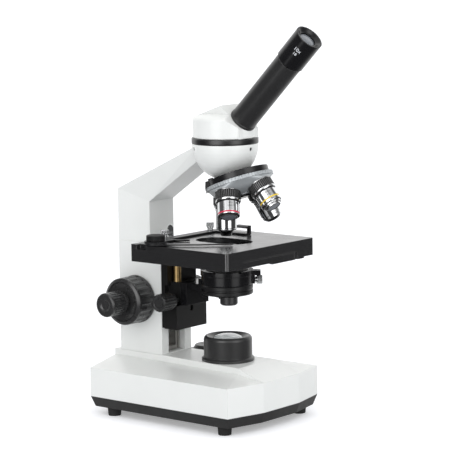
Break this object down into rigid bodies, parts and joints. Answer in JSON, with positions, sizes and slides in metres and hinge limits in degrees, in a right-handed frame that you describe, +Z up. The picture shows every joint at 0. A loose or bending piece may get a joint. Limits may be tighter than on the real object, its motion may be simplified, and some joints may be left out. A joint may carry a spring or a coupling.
{
  "type": "compound microscope",
  "caption": "Monocular compound microscope: leaning white arm, rotating head with slanted eyepiece, turning nosepiece, mechanical stage, condenser and lamp base.",
  "frame": {"origin": "on the table, in the middle of the microscope's box seen from above", "axes": "+Z up, the eyepiece and the base's front face towards -Y, the column at +Y, +X to the user's right"},
  "size_m": [0.1383, 0.2378, 0.3759],
  "materials": {
    "white_paint": "die-cast aluminium under a satin white powder coat with a fine orange peel",
    "black_paint": "semi-matt black enamel",
    "black_metal": "black anodised, satin",
    "stage_black": "black lacquer, glossy top",
    "turret_black": "dark anodised with a bright turned rim",
    "black_plastic": "satin black moulding",
    "knob_plastic": "black moulding, half gloss, fluted",
    "rubber": "matt",
    "bare_steel": "ground",
    "dark_steel": "blackened",
    "bright_steel": "bright, knurled",
    "objective_chrome": "satin chrome barrel with a black grip",
    "brass_gear": "cut teeth, oiled",
    "brass_post": "polished",
    "glass": "polished, coated",
    "lamp_resin": "clear resin over a yellow phosphor",
    "circuit_board": "green solder mask"
  },
  "bodies": {
    "stand": {"base_shell": "white_paint", "base_pan": "black_paint", "foot_front_left": "rubber", "foot_front_right": "rubber", "foot_rear_left": "rubber", "foot_rear_right": "rubber", "illuminator_housing": "black_plastic", "collector_lens": "glass", "lamp_board": "circuit_board", "lamp_dome": "lamp_resin", "power_board": "circuit_board", "power_inlet": "black_plastic", "arm_casting": "white_paint", "guide_rail": "bare_steel", "head_ring": "black_metal", "set_screw_front": "dark_steel", "set_screw_left": "dark_steel", "set_screw_right": "dark_steel", "nosepiece_mount": "black_metal"},
    "lift_carriage": {"carriage": "black_metal", "lift_rack": "brass_gear", "stop_post": "brass_post", "stage_support": "black_metal"},
    "coarse_drive": {"coarse_shaft": "bare_steel", "coarse_knob_left": "knob_plastic", "coarse_knob_right": "knob_plastic"},
    "fine_drive": {"fine_shaft": "bare_steel", "fine_knob_left": "knob_plastic", "fine_knob_right": "knob_plastic"},
    "stage": {"stage_plate": "stage_black"},
    "stage_y_drive": {"y_knob": "knob_plastic"},
    "stage_x_drive": {"x_knob": "knob_plastic"},
    "slide_carrier": {"slide_holder": "stage_black", "finger_hub": "black_plastic", "clamp_screw_left": "bright_steel", "clamp_screw_right": "bright_steel"},
    "finger": {"holder_finger": "stage_black"},
    "condenser": {"condenser_carrier": "black_metal", "condenser_body": "black_metal", "condenser_lens": "glass", "condenser_thumbscrew": "bright_steel"},
    "condenser_drive": {"condenser_knob": "knob_plastic"},
    "iris": {"iris_lever": "black_metal"},
    "nosepiece": {"turret": "turret_black", "objective_4x": "objective_chrome", "objective_10x": "objective_chrome", "objective_40x": "objective_chrome", "objective_100x": "objective_chrome", "front_lens_4x": "glass", "front_lens_10x": "glass", "front_lens_40x": "glass", "front_lens_100x": "glass"},
    "head": {"head_body": "white_paint", "prism": "glass", "eyepiece_tube": "black_metal"},
    "eyepiece": {"eyepiece_body": "black_plastic", "eye_lens": "glass"},
    "dimmer": {"dimmer_dial": "black_plastic"},
    "switch": {"rocker_switch": "black_plastic"}
  },
  "joints": [
    {"name": "stage_lift", "type": "slide", "parent": "stand", "child": "lift_carriage", "axis": [0, 0, 1], "range_m": [-0.022, 0]},
    {"name": "coarse_focus", "type": "hinge", "parent": "stand", "child": "coarse_drive", "pos_m": [0, 0.08737, 0.1094], "axis": [1, 0, 0], "range_deg": [-2, 86]},
    {"name": "fine_focus", "type": "hinge", "parent": "stand", "child": "fine_drive", "pos_m": [0, 0.08737, 0.1094], "axis": [1, 0, 0], "range_deg": [-170, 170]},
    {"name": "stage_forward", "type": "slide", "parent": "lift_carriage", "child": "stage", "axis": [0, 1, 0], "range_m": [-0.02, 0]},
    {"name": "stage_forward_knob", "type": "hinge", "parent": "lift_carriage", "child": "stage_y_drive", "pos_m": [0.048, 0.03687, 0.15], "axis": [0, 0, 1], "range_deg": [-166, 2]},
    {"name": "slide_across", "type": "slide", "parent": "stage", "child": "slide_carrier", "axis": [1, 0, 0], "range_m": [-0.012, 0.015]},
    {"name": "slide_across_knob", "type": "hinge", "parent": "lift_carriage", "child": "stage_x_drive", "pos_m": [0.048, 0.03687, 0.14], "axis": [0, 0, 1], "range_deg": [-100, 125]},
    {"name": "finger_swing", "type": "hinge", "parent": "slide_carrier", "child": "finger", "pos_m": [-0.0585, 0.02987, 0.1729], "axis": [0, 0, 1], "range_deg": [-40, 0], "stiffness_Nm_per_rad": 0.08},
    {"name": "condenser_focus", "type": "slide", "parent": "lift_carriage", "child": "condenser", "axis": [0, 0, 1], "range_m": [-0.008, 0]},
    {"name": "condenser_knob_turn", "type": "hinge", "parent": "lift_carriage", "child": "condenser_drive", "pos_m": [-0.032, 0.04237, 0.112], "axis": [1, 0, 0], "range_deg": [-2, 97]},
    {"name": "iris_swing", "type": "hinge", "parent": "condenser", "child": "iris", "pos_m": [0, -0.00813, 0.119], "axis": [0, 0, 1], "range_deg": [-40, 40]},
    {"name": "nosepiece_turn", "type": "hinge", "parent": "stand", "child": "nosepiece", "pos_m": [0, -0.00813, 0.2772], "axis": [0, -0.342, -0.9397], "continuous": true},
    {"name": "head_turn", "type": "hinge", "parent": "stand", "child": "head", "pos_m": [0, -0.00813, 0.27], "axis": [0, 0, 1], "continuous": true},
    {"name": "eyepiece_pull", "type": "slide", "parent": "head", "child": "eyepiece", "axis": [0, -0.7071, 0.7071], "range_m": [0, 0.03]},
    {"name": "dimmer_turn", "type": "hinge", "parent": "stand", "child": "dimmer", "pos_m": [0.0455, 0.05537, 0.05], "axis": [0, 0, 1], "range_deg": [-135, 135]},
    {"name": "switch_rock", "type": "hinge", "parent": "stand", "child": "switch", "pos_m": [0.015, 0.10937, 0.032], "axis": [1, 0, 0], "range_deg": [-8, 8]}
  ],
  "couplings": [
    {"joint": "coarse_focus", "follows": "stage_lift", "rad_per_m": -66.667},
    {"joint": "stage_forward_knob", "follows": "stage_forward", "rad_per_m": 142.86},
    {"joint": "slide_across_knob", "follows": "slide_across", "rad_per_m": 142.86},
    {"joint": "condenser_knob_turn", "follows": "condenser_focus", "rad_per_m": -208.33}
  ]
}
